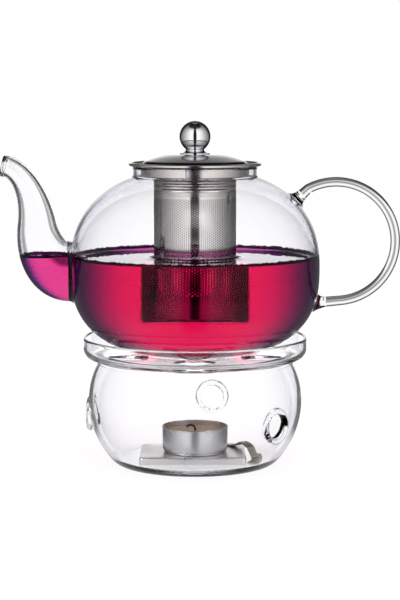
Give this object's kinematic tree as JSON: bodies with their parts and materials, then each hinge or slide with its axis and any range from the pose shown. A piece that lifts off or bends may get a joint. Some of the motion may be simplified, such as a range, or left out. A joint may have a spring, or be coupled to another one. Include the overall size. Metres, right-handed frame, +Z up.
{
  "type": "glass teapot with infuser and candle warmer",
  "caption": "Round blown glass teapot with a steel lid and basket infuser, on a glass candle warmer with a tealight.",
  "frame": {"origin": "centre of the warmer's flat base, on the table", "axes": "+Z up along the axis of the warmer and the pot, spout towards -X, handle towards +X, and -Y towards the viewer"},
  "size_m": [0.2333, 0.1462, 0.201],
  "materials": {
    "glass": "clear blown borosilicate glass, fire polished",
    "tea": "clear crimson liquid",
    "infuser_steel": "satin stainless sheet",
    "lid_steel": "polished stainless steel",
    "tray_steel": "bright rolled stainless sheet",
    "foil": "drawn aluminium foil with fine folds",
    "wax": "waxy, slightly translucent",
    "wick": "charred braided cotton"
  },
  "bodies": {
    "warmer": {"warmer_base": "glass", "warmer_bowl": "glass", "warmer_dish": "glass", "vent_rings": "glass"},
    "tray": {"candle_tray": "tray_steel", "tray_strap": "tray_steel"},
    "tealight": {"candle_cup": "foil", "candle_wax": "wax", "candle_wick": "wick", "wick_sustainer": "foil"},
    "pot": {"pot_belly": "glass", "pot_shoulder": "glass", "pot_crown": "glass", "pot_neck": "glass", "spout": "glass", "handle": "glass", "tea": "tea"},
    "infuser": {"infuser_rim": "infuser_steel", "infuser_mesh": "infuser_steel", "infuser_base": "infuser_steel"},
    "lid": {"lid_dome": "lid_steel", "knob_ball": "lid_steel", "knob_foot": "lid_steel", "knob_screw": "lid_steel", "knob_washer": "lid_steel"}
  },
  "joints": [
    {"name": "pot_lift", "type": "slide", "parent": "warmer", "child": "pot", "axis": [0, 0, 1], "range_m": [0, 0.12]},
    {"name": "infuser_lift", "type": "slide", "parent": "pot", "child": "infuser", "axis": [0, 0, 1], "range_m": [0, 0.1]},
    {"name": "lid_lift", "type": "slide", "parent": "infuser", "child": "lid", "axis": [0, 0, 1], "range_m": [0, 0.04]},
    {"name": "tray_lift", "type": "slide", "parent": "warmer", "child": "tray", "axis": [0, 0, 1], "range_m": [0, 0.016]},
    {"name": "tealight_lift", "type": "slide", "parent": "tray", "child": "tealight", "axis": [0, 0, 1], "range_m": [0, 0.016]}
  ]
}
